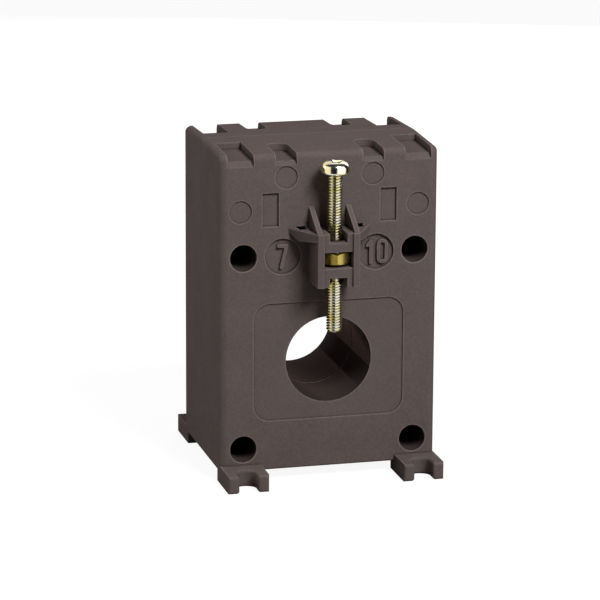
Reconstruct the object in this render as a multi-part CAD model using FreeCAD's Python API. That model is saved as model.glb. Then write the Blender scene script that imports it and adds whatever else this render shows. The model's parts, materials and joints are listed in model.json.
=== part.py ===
import FreeCAD, Part
import math
import os

from FreeCAD import Vector

# Current transformer with a round bore and a clamp screw, in millimetres.
# The origin is on the bore's axis, at the split between the two case halves.
# +Z is up, +X is to the right, and the front face with the clamp looks along -Y.

# Case
case_width = 56.0            # across X
case_depth = 40.0            # front face to rear face
bore_to_top = 53.1           # bore axis to the top's front and rear edges
bore_to_bottom = 27.9        # bore axis to the underside
top_rise = 0.65              # height that the top gains towards the split
wall = 2.0                   # side walls and bottom
face_wall = 2.2              # front and rear faces
top_wall = 4.1               # top, thick enough for its notches
upright_round = 2.0          # upright corners of the case
top_round = 1.6              # edges round the top
bottom_round = 0.6           # edges round the underside
split_chamfer = 0.2          # fine groove round the case where the halves meet

# Joint between the halves
lip_length = 2.0
lip_thickness = 0.95         # on the walls
corner_lip = 0.45            # on the corner tubes
bore_lip = 0.7               # on the bore tube
lip_gap = 0.05

# Bore for the conductor
bore_diameter = 22.0
bore_wall = 1.5
bore_rim = 0.2               # chamfer at the two faces
seam_chamfer = 0.25          # on the rear tube's lip, seen inside the bore

# Four holes right through the case, near its corners
corner_hole = 6.7
corner_wall = 1.15
corner_inset = 6.0           # each hole's axis to the side of the case
corner_top = 27.1            # bore axis up to the upper pair
corner_bottom = 22.15        # bore axis down to the lower pair
hole_rim = 0.15

# Notches along the top edges, two square ones outside and two round-ended ones inside
square_notch_width = 6.6
square_notch_length = 13.8
square_notch_inset = 5.3     # its middle to the side of the case
round_notch_width = 5.3
round_notch_length = 11.2
round_notch_centre = 11.15
front_square_floor = 1.75    # floor of each notch below the top's edge, at the face
front_round_floor = 2.0
rear_square_floor = 2.2
rear_round_floor = 1.6
square_notch_chamfer = 1.3
round_notch_chamfer = 0.9

# Shallow marks moulded in both faces
disc_diameter = 5.7
disc_depth = 0.3
outer_disc = (22.75, 38.8)   # across and above the bore axis
inner_disc = (11.1, 47.05)
slot_width = 4.1
slot_height = 8.4
slot_depth = 0.6
slot_centre = (15.1, 39.0)
ring_diameter = 9.1          # round field that carries a number
ring_depth = 0.7
ring_centre = (12.0, 27.05)
panel_width = 38.6
panel_height = 30.2
panel_corner = 4.1
panel_depth = 0.3
digit_height = 6.2
digit_stroke = 0.85
digit_width = 2.9
digit_pitch = 3.3

# Feet
foot_width = 10.4
foot_inset = 5.35            # its middle to the side of the case
foot_reach = 9.2             # beyond the face
foot_under = 3.5             # under the case
foot_top = 26.3              # bore axis down to the foot's top
foot_thickness = 4.5
foot_slot_width = 4.8
foot_slot_length = 5.8
foot_round = 0.7

# Clamp holder
holder_width = 10.8
holder_reach = 9.25          # from the front face
holder_bottom = 20.6
holder_top = 34.2
holder_notch_depth = 2.35    # open slots above and below the two bars
bar_setback = 0.5            # bars behind the front of the side walls
nut_window_bottom = 25.45
nut_window_height = 4.05
nut_side_gap = 0.15
nut_back_gap = 0.2
gusset_thickness = 1.3
gusset_top = 39.45
lug_reach = 10.5             # from the middle to the lug's tip
lug_root_thickness = 3.1     # at the face
lug_front_thickness = 2.0    # at the holder's front
lug_tip_thickness = 0.9
lug_hole_width = 1.9
lug_hole_depth = 2.3
lug_hole_start = 6.4
latch_thickness = 1.5
latch_catch = 2.2
latch_catch_length = 1.3
latch_gap = 0.3
latch_behind = 0.1           # catch behind the inside of the wall
holder_round = 0.25

# Clamp screw, M4 x 40, and its nut
thread_diameter = 4.0
thread_gap = 0.05            # radial, between shank and nut
screw_hole_gap = 0.25        # radial, in plastic
screw_axis_reach = 4.8       # screw axis in front of the front face
screw_length = 40.0
screw_tip_height = 8.5       # bore axis up to the tip, at rest
clamp_head_diameter = 7.2
clamp_head_height = 3.05
clamp_head_crown = 1.6       # rounding at the top of the head
clamp_head_seat = 0.8        # rounding at its underside
clamp_recess_turn = 19.0     # degrees, where its cross has come to rest
recess_width = 1.1
recess_depth = 1.6
recess_margin = 1.3          # cross short of the rim
tip_chamfer = 0.5
nut_flats = 7.0
nut_height = 2.8
nut_bottom_gap = 0.72        # nut above the window's sill
nut_chamfer_angle = 30.0
nut_turn = 4.3               # degrees, taken up in its side play

# Ring core and its layers, which fill the space inside the case
tape_bore_gap = 0.3          # tape to the bore tube
tape_wall_gap = 2.2          # tape to the nearest wall
pad_thickness = 3.0          # between the tape and each face
pad_inset = 0.7              # pads are narrower than the taped ring
tape_thickness = 0.3
winding_thickness = 1.0
cup_thickness = 1.0
core_round = 0.6

# Terminals in the rear face
chamber_width = 17.0
chamber_rib = 2.0            # between the two chambers
chamber_bottom = 32.6
chamber_height = 16.2
chamber_depth = 12.0
chamber_wall = 1.6
terminal_centre = (9.5, 43.0)
plate_width = 12.0
plate_top = 48.4
plate_bottom = 36.2
plate_thickness = 1.5
tail_width = 4.0
tail_length = 6.0            # beyond the plate's back
tail_gap = 0.2
square_nut_width = 7.0
square_nut_height = 3.2
cage_gap = 0.1
cage_wall = 1.3
cage_depth = 3.8
washer_width = 9.0
washer_thickness = 1.2
washer_rest_gap = 0.3
washer_hole_gap = 0.08
head_rest_gap = 0.1
pan_head_diameter = 8.0
pan_head_height = 3.1
pan_head_crown = 1.4
pan_head_seat = 0.3
terminal_screw_length = 10.0
plate_hole_gap = 0.2

# Leads
lead_diameter = 1.6
lead_start = 6.0             # from the middle, where it leaves the winding
lead_offset = 3.5            # behind the split
lead_seat_gap = 0.1

# Worked out from the sizes above
half_width = case_width / 2
half_depth = case_depth / 2
bore_radius = bore_diameter / 2
bore_tube_radius = bore_radius + bore_wall
hole_radius = corner_hole / 2
hole_tube_radius = hole_radius + corner_wall
cavity_half_width = half_width - wall
cavity_depth = half_depth - face_wall
cavity_bottom = -bore_to_bottom + wall
cavity_top = bore_to_top - top_wall
corner_places = [
    (side * (half_width - corner_inset), height)
    for side in (-1, 1)
    for height in (corner_top, -corner_bottom)
]
screw_axis_y = -half_depth - screw_axis_reach
holder_front_y = -half_depth - holder_reach
pocket_half_width = nut_flats / 2 + nut_side_gap
lug_bottom = holder_top - lug_root_thickness
thread_radius = thread_diameter / 2
nut_bottom = nut_window_bottom + nut_bottom_gap
foot_centre = half_width - foot_inset
foot_bottom = -foot_top - foot_thickness
cup_depth = cup_thickness
winding_depth = cup_depth + winding_thickness
tape_depth = winding_depth + tape_thickness
tape_outer = min(cavity_half_width, -cavity_bottom) - tape_wall_gap
core_inner = bore_tube_radius + tape_bore_gap + tape_depth
core_outer = tape_outer - tape_depth
core_half_length = cavity_depth - pad_thickness - tape_depth
chamber_floor_y = half_depth - chamber_depth
plate_face_y = chamber_floor_y + plate_thickness
washer_y = plate_face_y + washer_rest_gap
terminal_head_y = washer_y + washer_thickness + head_rest_gap
square_nut_y = chamber_floor_y - chamber_wall - square_nut_height
beyond = 1.0                 # how far a cutting tool runs past a face

X_AXIS = Vector(1, 0, 0)
Y_AXIS = Vector(0, 1, 0)
Z_AXIS = Vector(0, 0, 1)


def block(x0, x1, y0, y1, z0, z1):
    return Part.makeBox(x1 - x0, y1 - y0, z1 - z0, Vector(x0, y0, z0))


def rod(radius, start, direction, length):
    return Part.makeCylinder(radius, length, Vector(*start), direction)


def cone(radius_a, radius_b, start, direction, length):
    return Part.makeCone(radius_a, radius_b, length, Vector(*start), direction)


def prism(corners, sweep):
    points = [Vector(*corner) for corner in corners]
    face = Part.Face(Part.makePolygon(points + points[:1]))
    return face.extrude(Vector(*sweep))


def joined(shapes):
    shapes = list(shapes)
    if len(shapes) == 1:
        return shapes[0]
    return shapes[0].multiFuse(shapes[1:]).removeSplitter()


def without(base, tools):
    return base.cut(list(tools))


def mirrored_x(shape):
    return shape.mirror(Vector(0, 0, 0), X_AXIS)


def mirrored_y(shape):
    return shape.mirror(Vector(0, 0, 0), Y_AXIS)


def both_sides(shape):
    return [shape, mirrored_x(shape)]


def rounded(shape, radius, chosen):
    edges = [edge for edge in shape.Edges if chosen(edge.BoundBox)]
    return shape.makeFillet(radius, edges)


def near(a, b):
    return abs(a - b) < 1e-4


# One case half, built at the front


def top_height(y):
    return bore_to_top + top_rise * (1 - abs(y) / half_depth)


def outer_half():
    profile = [
        (-half_width, -half_depth, -bore_to_bottom),
        (-half_width, 0, -bore_to_bottom),
        (-half_width, 0, top_height(0)),
        (-half_width, -half_depth, bore_to_top),
    ]
    body = prism(profile, (case_width, 0, 0))
    body = rounded(body, upright_round,
                   lambda b: near(b.YMin, -half_depth) and near(b.YMax, -half_depth)
                   and b.ZLength > bore_to_bottom)
    body = rounded(body, top_round,
                   lambda b: b.ZMin > bore_to_top - 0.01 and b.YMin < -0.01)
    body = rounded(body, bottom_round,
                   lambda b: b.ZMax < -bore_to_bottom + 0.01 and b.YMin < -0.01)
    split_edges = [edge for edge in body.Edges
                   if near(edge.BoundBox.YMin, 0) and near(edge.BoundBox.YMax, 0)]
    return body.makeChamfer(split_chamfer, split_edges)


def through_hole(radius, tube_x, tube_z, rim):
    y = -half_depth - beyond
    hole = rod(radius, (tube_x, y, tube_z), Y_AXIS, half_depth + 2 * beyond)
    mouth = cone(radius + rim + beyond, radius, (tube_x, y, tube_z), Y_AXIS, rim + beyond)
    return [hole, mouth]


def tube(radius, tube_x, tube_z):
    return rod(radius, (tube_x, -half_depth, tube_z), Y_AXIS, half_depth)


def notch(centre, width, length, floor, chamfer, round_end):
    """A channel from the face, its floor parallel to the sloping top."""
    x = centre - width / 2
    y0 = -half_depth - beyond
    y1 = -half_depth + length
    z = bore_to_top - floor
    slope = top_rise / half_depth
    above = z + 2 * top_wall
    section = [
        (x, y0, z - slope * beyond),
        (x, y1, z + slope * length),
        (x, y1, above),
        (x, y0, above),
    ]
    channel = prism(section, (width, 0, 0))
    if round_end:
        radius = width / 2
        straight = block(x, x + width, y0, y1 - radius, z - beyond, above)
        end = rod(radius, (centre, y1 - radius, z - beyond), Z_AXIS, above - z + beyond)
        channel = channel.common(joined([straight, end]))
    edge = [
        (x, y0, z - chamfer - beyond),
        (x, -half_depth + chamfer + beyond, z + beyond),
        (x, y0, z + beyond),
    ]
    return [channel, prism(edge, (width, 0, 0))]


def notches(square_floor, round_floor):
    square = notch(half_width - square_notch_inset, square_notch_width, square_notch_length,
                   square_floor, square_notch_chamfer, False)
    bowed = notch(round_notch_centre, round_notch_width, round_notch_length,
                  round_floor, round_notch_chamfer, True)
    return square + bowed


def face_mark_tools():
    y = -half_depth - beyond
    tools = []
    for x, z in (outer_disc, inner_disc):
        tools.append(rod(disc_diameter / 2, (x, y, z), Y_AXIS, disc_depth + beyond))
    x, z = ring_centre
    tools.append(rod(ring_diameter / 2, (x, y, z), Y_AXIS, ring_depth + beyond))
    x, z = slot_centre
    tools.append(block(x - slot_width / 2, x + slot_width / 2, y, -half_depth + slot_depth,
                       z - slot_height / 2, z + slot_height / 2))
    tools += [mirrored_x(tool) for tool in tools]
    panel = block(-panel_width / 2, panel_width / 2, y, -half_depth + panel_depth,
                  -panel_height / 2, panel_height / 2)
    tools.append(rounded(panel, panel_corner,
                         lambda b: near(b.XLength, 0) and near(b.ZLength, 0)))
    return tools


def foot():
    x0 = foot_centre - foot_width / 2
    front = -half_depth - foot_reach
    back = -half_depth + foot_under
    plate = block(x0, x0 + foot_width, front, back, foot_bottom, -foot_top)
    radius = foot_slot_width / 2
    end_y = front + foot_slot_length - radius
    slot = block(foot_centre - radius, foot_centre + radius, front - beyond, end_y,
                 foot_bottom - beyond, -foot_top + beyond)
    end = rod(radius, (foot_centre, end_y, foot_bottom - beyond), Z_AXIS,
              foot_thickness + 2 * beyond)
    plate = without(plate, [joined([slot, end])])
    return rounded(plate, foot_round, lambda b: not near(b.YMax, back))


def case_half(square_floor, round_floor):
    body = outer_half()
    cavity = block(-cavity_half_width, cavity_half_width, -cavity_depth, beyond,
                   cavity_bottom, cavity_top)
    body = without(body, [cavity])
    tubes = [tube(bore_tube_radius, 0, 0)]
    tubes += [tube(hole_tube_radius, x, z) for x, z in corner_places]
    body = joined([body] + tubes + both_sides(foot()))
    tools = through_hole(bore_radius, 0, 0, bore_rim)
    for x, z in corner_places:
        tools += through_hole(hole_radius, x, z, hole_rim)
    for tool in notches(square_floor, round_floor):
        tools += both_sides(tool)
    return without(body, tools + face_mark_tools())


# Raised numbers in the round fields


def stroke(points):
    """Flat bars with round ends, one along each run of points (across, up)."""
    radius = digit_stroke / 2
    pieces = [rod(radius, (x, 0, z), Y_AXIS, ring_depth) for x, z in points]
    for (x0, z0), (x1, z1) in zip(points, points[1:]):
        length = math.hypot(x1 - x0, z1 - z0)
        bar = block(0, length, 0, ring_depth, -radius, radius)
        turn = math.degrees(math.atan2(z1 - z0, x1 - x0))
        bar.rotate(Vector(0, 0, 0), Y_AXIS, -turn)
        bar.translate(Vector(x0, 0, z0))
        pieces.append(bar)
    return joined(pieces)


def digit(figure):
    w = (digit_width - digit_stroke) / 2
    h = (digit_height - digit_stroke) / 2
    if figure == "0":
        outer = [rod(w + digit_stroke / 2, (0, 0, z), Y_AXIS, ring_depth)
                 for z in (w - h, h - w)]
        outer.append(block(-w - digit_stroke / 2, w + digit_stroke / 2, 0, ring_depth,
                           w - h, h - w))
        inner = [rod(w - digit_stroke / 2, (0, 0, z), Y_AXIS, ring_depth)
                 for z in (w - h, h - w)]
        inner.append(block(-w + digit_stroke / 2, w - digit_stroke / 2, 0, ring_depth,
                           w - h, h - w))
        return without(joined(outer), [joined(inner)])
    if figure == "1":
        return stroke([(-w * 0.5, h * 0.6), (w * 0.3, h), (w * 0.3, -h)])
    if figure == "2":
        bow = [(w * math.cos(a), h - w + w * math.sin(a))
               for a in (math.pi, math.pi * 0.75, math.pi / 2, math.pi / 4, 0, -math.pi / 5)]
        return stroke(bow + [(-w, -h), (w, -h)])
    return stroke([(-w, h), (w, h), (-w * 0.3, -h)])


def number(text, side):
    """A number in the field on the left (-1) or right (1), read from the front."""
    pieces = []
    for place, figure in enumerate(text):
        shift = (place - (len(text) - 1) / 2) * digit_pitch
        piece = digit(figure)
        piece.translate(Vector(side * ring_centre[0] + shift, -half_depth, ring_centre[1]))
        pieces.append(piece)
    return joined(pieces)


# The two case halves


def latch_windows():
    x0 = lug_hole_start - latch_gap
    x1 = lug_hole_start + lug_hole_width + latch_gap
    window = block(x0, x1, -half_depth - beyond, -cavity_depth + beyond,
                   lug_bottom, holder_top + latch_gap)
    return both_sides(window)


def front_rebates():
    """Steps in the walls, outside the corner tubes and inside the bore tube."""
    depth = lip_length + lip_gap
    step = lip_thickness + lip_gap
    walls = block(-cavity_half_width - step, cavity_half_width + step, -depth, beyond,
                  cavity_bottom - step, cavity_top + step)
    kept = [rod(hole_tube_radius - corner_lip - lip_gap, (x, -depth, z), Y_AXIS,
                depth + beyond) for x, z in corner_places]
    kept.append(rod(bore_tube_radius + beyond, (0, -depth, 0), Y_AXIS, depth + beyond))
    inside_bore = rod(bore_radius + bore_lip + lip_gap, (0, -depth, 0), Y_AXIS,
                      depth + beyond)
    return [without(walls, kept), inside_bore]


def front_shell():
    body = case_half(front_square_floor, front_round_floor)
    body = without(body, front_rebates() + latch_windows())
    return joined([body, number("7", -1), number("10", 1)])


def rear_lips():
    """Lips of the rear half that reach into the front half."""
    y1 = split_chamfer + beyond
    length = lip_length + y1
    x = cavity_half_width + lip_thickness
    outer = block(-x, x, -lip_length, y1, cavity_bottom - lip_thickness,
                  cavity_top + lip_thickness)
    inner = block(-cavity_half_width, cavity_half_width, -lip_length, y1,
                  cavity_bottom, cavity_top)
    tubes = [rod(hole_tube_radius, (x, -lip_length, z), Y_AXIS, length)
             for x, z in corner_places]
    pieces = [without(outer, [inner] + tubes)]
    for x, z in corner_places:
        inside = rod(hole_tube_radius - corner_lip, (x, -lip_length, z), Y_AXIS, length)
        outside = rod(hole_tube_radius, (x, -lip_length, z), Y_AXIS, length)
        pieces.append(without(outside, [inside]))
    bore_ring = rod(bore_radius + bore_lip, (0, -lip_length, 0), Y_AXIS, length)
    bore_tool = rod(bore_radius, (0, -lip_length, 0), Y_AXIS, length)
    mouth = cone(bore_radius + seam_chamfer, bore_radius, (0, -lip_length, 0), Y_AXIS,
                 seam_chamfer)
    pieces.append(without(bore_ring, [bore_tool, mouth]))
    return joined(pieces)


def chamber_box(grow, y0, y1):
    """Both terminal chambers, grown by a wall."""
    x1 = chamber_rib / 2 + chamber_width
    return block(-x1 - grow, x1 + grow, y0, y1,
                 chamber_bottom - grow, chamber_bottom + chamber_height + grow)


def nut_cage(x, z):
    half = square_nut_width / 2 + cage_gap
    y1 = chamber_floor_y - chamber_wall
    y0 = y1 - cage_depth
    outer = block(x - half - cage_wall, x + half + cage_wall, y0, y1 + chamber_wall / 2,
                  z - half - cage_wall, z + half + cage_wall)
    inner = block(x - half, x + half, y0 - beyond, y1, z - half, z + half)
    return without(outer, [inner])


def rear_shell():
    body = mirrored_y(case_half(rear_square_floor, rear_round_floor))
    x, z = terminal_centre
    pocket = chamber_box(chamber_wall, chamber_floor_y - chamber_wall, half_depth - face_wall / 2)
    body = joined([body, pocket, rear_lips()] + both_sides(nut_cage(x, z)))
    chamber = block(chamber_rib / 2, chamber_rib / 2 + chamber_width,
                    chamber_floor_y, half_depth + beyond,
                    chamber_bottom, chamber_bottom + chamber_height)
    shank = rod(thread_radius + screw_hole_gap, (x, square_nut_y, z), Y_AXIS, chamber_depth)
    tail = block(x - tail_width / 2 - tail_gap, x + tail_width / 2 + tail_gap,
                 chamber_floor_y - chamber_wall - beyond, chamber_floor_y + beyond,
                 plate_bottom - tail_gap, plate_bottom + plate_thickness + tail_gap)
    tools = []
    for tool in (chamber, shank, tail):
        tools += both_sides(tool)
    body = without(body, tools)
    numbers = mirrored_x(mirrored_y(joined([number("1", -1), number("2", 1)])))
    return joined([body, numbers])


# Clamp holder, screw and nut


def holder_block():
    inner = pocket_half_width
    side_wall = block(inner, holder_width / 2, holder_front_y, -half_depth,
                      holder_bottom, holder_top)
    side_wall = rounded(side_wall, holder_round,
                        lambda b: near(b.YMax, holder_front_y) and near(b.XLength, 0))
    middle = block(-inner, inner, holder_front_y + bar_setback, -half_depth,
                   holder_bottom, holder_top)
    back_y = screw_axis_y + nut_flats / math.sqrt(3) + nut_back_gap
    tools = [block(-inner, inner, holder_front_y, back_y,
                   nut_window_bottom, nut_window_bottom + nut_window_height)]
    radius = thread_radius + screw_hole_gap
    tools.append(rod(radius, (0, screw_axis_y, holder_bottom - beyond), Z_AXIS,
                     holder_top - holder_bottom + 2 * beyond))
    ends = [(holder_bottom - beyond, holder_bottom + holder_notch_depth),
            (holder_top - holder_notch_depth, holder_top + beyond)]
    for z0, z1 in ends:
        tools.append(block(-radius, radius, holder_front_y, screw_axis_y, z0, z1))
    return joined([without(middle, tools)] + both_sides(side_wall))


def gusset():
    x = holder_width / 2 - gusset_thickness
    corners = [
        (x, -half_depth, holder_top - beyond),
        (x, -half_depth, gusset_top),
        (x, holder_front_y + holder_round, holder_top),
        (x, holder_front_y + holder_round, holder_top - beyond),
    ]
    return prism(corners, (gusset_thickness, 0, 0))


def lug():
    """A side bracket, its underside rising to the front and to its tip."""
    root = holder_width / 2
    x0 = root - gusset_thickness
    y0 = -half_depth
    y1 = holder_front_y + holder_round
    section = [
        (x0, y0, lug_bottom),
        (x0, y0, holder_top),
        (x0, y1, holder_top),
        (x0, y1, holder_top - lug_front_thickness),
    ]
    plan = [(x0, y0, lug_bottom), (lug_reach, y0, lug_bottom), (root, y1, lug_bottom),
            (x0, y1, lug_bottom)]
    body = prism(section, (lug_reach - x0, 0, 0))
    body = body.common(prism(plan, (0, 0, lug_root_thickness)))
    tip = holder_top - lug_tip_thickness
    drop = lug_root_thickness
    under_tip = [
        (lug_reach - drop, y0 + beyond, tip - drop),
        (lug_reach + beyond, y0 + beyond, tip + beyond),
        (lug_reach + beyond, y0 + beyond, tip - drop),
    ]
    hole = block(lug_hole_start, lug_hole_start + lug_hole_width,
                 y0 - lug_hole_depth, y0,
                 lug_bottom + latch_gap + latch_thickness, holder_top + beyond)
    return without(body, [prism(under_tip, (0, -holder_reach - 2 * beyond, 0)), hole])


def latch():
    """Arm through the face with a catch behind the wall."""
    x0 = lug_hole_start
    arm_bottom = lug_bottom + latch_gap
    arm_top = arm_bottom + latch_thickness
    catch_y = -cavity_depth + latch_behind
    end_y = catch_y + latch_catch_length
    side_view = [
        (x0, -half_depth - beyond, arm_bottom),
        (x0, -half_depth - beyond, arm_top),
        (x0, catch_y, arm_top),
        (x0, catch_y, arm_top + latch_catch),
        (x0, end_y, arm_top),
        (x0, end_y, arm_bottom),
    ]
    return prism(side_view, (lug_hole_width, 0, 0))


def clamp_holder():
    sides = []
    for shape in (gusset(), lug(), latch()):
        sides += both_sides(shape)
    return joined([holder_block()] + sides)


def screw(length, head_diameter, head_height, crown, seat, recess_turn):
    """A screw that stands on its tip, with the head's underside at the origin."""
    head = rod(head_diameter / 2, (0, 0, 0), Z_AXIS, head_height)
    head = rounded(head, crown, lambda b: near(b.ZMin, head_height))
    head = rounded(head, seat, lambda b: near(b.ZMax, 0))
    half = recess_width / 2
    reach = head_diameter / 2 - recess_margin
    floor = head_height - recess_depth
    recess = joined([
        block(-half, half, -reach, reach, floor, head_height + beyond),
        block(-reach, reach, -half, half, floor, head_height + beyond),
    ])
    recess.rotate(Vector(0, 0, 0), Z_AXIS, recess_turn)
    shank = rod(thread_radius, (0, 0, tip_chamfer - length), Z_AXIS, length - tip_chamfer)
    point = cone(thread_radius - tip_chamfer, thread_radius, (0, 0, -length), Z_AXIS,
                 tip_chamfer)
    return joined([without(head, [recess]), shank, point])


def clamp_screw():
    body = screw(screw_length, clamp_head_diameter, clamp_head_height,
                 clamp_head_crown, clamp_head_seat, clamp_recess_turn)
    body.translate(Vector(0, screw_axis_y, screw_tip_height + screw_length))
    return body


def clamp_nut():
    corner = nut_flats / math.sqrt(3)
    points = []
    for step in range(6):
        angle = math.radians(60 * step + 90 - nut_turn)
        points.append((corner * math.cos(angle), screw_axis_y + corner * math.sin(angle),
                       nut_bottom))
    body = prism(points, (0, 0, nut_height))
    narrow = nut_flats / 2
    wide = narrow + nut_height / math.tan(math.radians(nut_chamfer_angle))
    start = (0, screw_axis_y, nut_bottom)
    body = body.common(cone(narrow, wide, start, Z_AXIS, nut_height))
    body = body.common(cone(wide, narrow, start, Z_AXIS, nut_height))
    return without(body, [rod(thread_radius + thread_gap, start, Z_AXIS, nut_height)])


# Core and winding


def ring(inner, outer, half_length, edge_round):
    """A ring about the bore axis with rounded corners."""
    body = rod(outer, (0, -half_length, 0), Y_AXIS, 2 * half_length)
    body = without(body, [rod(inner, (0, -half_length, 0), Y_AXIS, 2 * half_length)])
    circles = [edge for edge in body.Edges
               if near(edge.BoundBox.YLength, 0) and len(edge.Vertexes) == 1]
    return body.makeFillet(edge_round, circles)


def layer(depth):
    """The taped stack grown by a depth over the bare core."""
    return ring(core_inner - depth, core_outer + depth, core_half_length + depth,
                core_round + depth)


def core_cup(side):
    shell = without(layer(cup_depth), [layer(0)])
    span = tape_outer
    half = block(-span, span, -span, 0, -span, span)
    if side > 0:
        half = mirrored_y(half)
    return shell.common(half)


def pad():
    y = -cavity_depth
    inner = core_inner - tape_depth + pad_inset
    body = rod(tape_outer - pad_inset, (0, y, 0), Y_AXIS, pad_thickness)
    return without(body, [rod(inner, (0, y, 0), Y_AXIS, pad_thickness)])


# Terminals, built on the right of the middle


def terminal_plate():
    x, z = terminal_centre
    body = block(x - plate_width / 2, x + plate_width / 2, chamber_floor_y, plate_face_y,
                 plate_bottom, plate_top)
    tail = block(x - tail_width / 2, x + tail_width / 2, chamber_floor_y - tail_length,
                 plate_face_y, plate_bottom, plate_bottom + plate_thickness)
    hole = rod(thread_radius + plate_hole_gap, (x, chamber_floor_y - beyond, z), Y_AXIS,
               plate_thickness + 2 * beyond)
    return without(joined([body, tail]), [hole])


def terminal_nut():
    x, z = terminal_centre
    half = square_nut_width / 2
    body = block(x - half, x + half, square_nut_y, square_nut_y + square_nut_height,
                 z - half, z + half)
    return without(body, [rod(thread_radius + thread_gap, (x, square_nut_y, z), Y_AXIS,
                              square_nut_height)])


def terminal_washer():
    x, z = terminal_centre
    half = washer_width / 2
    body = block(x - half, x + half, washer_y, washer_y + washer_thickness,
                 z - half, z + half)
    body = rounded(body, washer_thickness / 2,
                   lambda b: near(b.XLength, 0) and near(b.ZLength, 0))
    return without(body, [rod(thread_radius + washer_hole_gap, (x, washer_y, z), Y_AXIS,
                              washer_thickness)])


def terminal_screw():
    body = screw(terminal_screw_length, pan_head_diameter, pan_head_height,
                 pan_head_crown, pan_head_seat, 0)
    body.rotate(Vector(0, 0, 0), X_AXIS, -90)
    body.translate(Vector(terminal_centre[0], terminal_head_y, terminal_centre[1]))
    return body


def lead():
    """An S-shaped wire from the top of the winding to the terminal's tail."""
    near_edge = lead_start - lead_diameter / 2
    start_z = math.sqrt(tape_outer ** 2 - near_edge ** 2) + lead_seat_gap
    end_z = plate_bottom
    end_x = terminal_centre[0]
    shift = end_x - lead_start
    height = end_z - start_z
    radius = (shift ** 2 + height ** 2) / (4 * shift)
    half_turn = math.asin(height / 2 / radius) / 2
    side = radius * (1 - math.cos(half_turn))
    rise = radius * math.sin(half_turn)
    points = [
        Vector(lead_start, lead_offset, start_z),
        Vector(lead_start + side, lead_offset, start_z + rise),
        Vector(lead_start + shift / 2, lead_offset, start_z + height / 2),
        Vector(end_x - side, lead_offset, end_z - rise),
        Vector(end_x, lead_offset, end_z),
    ]
    path = Part.Wire([Part.Arc(*points[:3]).toShape(), Part.Arc(*points[2:]).toShape()])
    section = Part.Wire([Part.makeCircle(lead_diameter / 2, points[0], Z_AXIS)])
    return path.makePipeShell([section], True, True)


def save(name, shape):
    if isinstance(shape, Part.Compound) and len(shape.Solids) == 1:
        shape = shape.Solids[0]
    if not shape.isValid() or len(shape.Solids) != 1:
        raise ValueError(f"{name}: {len(shape.Solids)} solids, valid {shape.isValid()}")
    shape.exportStep(f"parts/{name}.step")
    print(f"{name}: {shape.Volume:.1f} mm3")


def save_pair(name, shape):
    """Number 1 is on the left from behind, at +X, and number 2 at -X."""
    save(f"{name}_1", shape)
    save(f"{name}_2", mirrored_x(shape))


def main():
    os.makedirs("parts", exist_ok=True)
    save("front_shell", front_shell())
    save("rear_shell", rear_shell())
    save("clamp_holder", clamp_holder())
    save("clamp_screw", clamp_screw())
    save("clamp_nut", clamp_nut())
    save("core", layer(0))
    save("core_cup_front", core_cup(-1))
    save("core_cup_rear", core_cup(1))
    save("secondary_winding", without(layer(winding_depth), [layer(cup_depth)]))
    save("winding_tape", without(layer(tape_depth), [layer(winding_depth)]))
    save("front_pad", pad())
    save("rear_pad", mirrored_y(pad()))
    save_pair("lead", lead())
    save_pair("terminal_plate", terminal_plate())
    save_pair("terminal_nut", terminal_nut())
    save_pair("terminal_washer", terminal_washer())
    save_pair("terminal_screw", terminal_screw())


main()
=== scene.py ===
import json
import math

import bmesh
import bpy
from bpy.props import FloatProperty, FloatVectorProperty, IntProperty, PointerProperty
from mathutils import Matrix, Vector


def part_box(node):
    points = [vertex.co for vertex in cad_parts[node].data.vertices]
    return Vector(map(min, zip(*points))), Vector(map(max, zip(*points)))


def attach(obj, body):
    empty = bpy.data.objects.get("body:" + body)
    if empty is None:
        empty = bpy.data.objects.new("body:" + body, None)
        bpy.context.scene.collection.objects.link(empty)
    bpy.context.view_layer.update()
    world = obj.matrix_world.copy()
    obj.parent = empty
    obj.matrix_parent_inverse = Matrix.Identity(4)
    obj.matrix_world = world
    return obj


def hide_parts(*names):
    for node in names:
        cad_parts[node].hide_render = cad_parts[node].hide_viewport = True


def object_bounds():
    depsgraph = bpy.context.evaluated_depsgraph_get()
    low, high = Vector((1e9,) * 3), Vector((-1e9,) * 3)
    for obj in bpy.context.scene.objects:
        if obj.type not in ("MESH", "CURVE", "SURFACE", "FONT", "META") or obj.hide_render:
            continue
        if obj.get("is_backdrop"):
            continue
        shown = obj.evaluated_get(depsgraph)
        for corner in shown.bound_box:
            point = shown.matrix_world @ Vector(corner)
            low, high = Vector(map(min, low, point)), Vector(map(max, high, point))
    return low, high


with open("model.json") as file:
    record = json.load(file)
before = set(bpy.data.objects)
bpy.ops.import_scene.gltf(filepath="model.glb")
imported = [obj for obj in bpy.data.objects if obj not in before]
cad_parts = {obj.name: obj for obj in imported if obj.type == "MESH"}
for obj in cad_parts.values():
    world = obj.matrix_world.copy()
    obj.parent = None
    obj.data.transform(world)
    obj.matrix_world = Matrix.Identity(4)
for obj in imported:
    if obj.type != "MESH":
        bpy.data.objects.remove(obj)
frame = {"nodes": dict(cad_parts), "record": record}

bl_info = {
    "name": "Current transformer",
    "version": (1, 0, 0),
    "blender": (4, 5, 0),
    "location": "View3D > Sidebar > Transformer",
    "description": "Moulded case, threaded clamp screw, terminals and a plain studio",
    "category": "Object",
}

MM = 0.001
SAME_PLACE = 1e-6                        # metres within which two heights are one
BEYOND = 1 * MM                          # how far a cutting tool reaches past its piece
PAST_WALL = 0.05 * MM                    # how far a wall's own finish reaches past it
EDGE_SAMPLES = 4                         # rays with which a finish feels for edges

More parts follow.
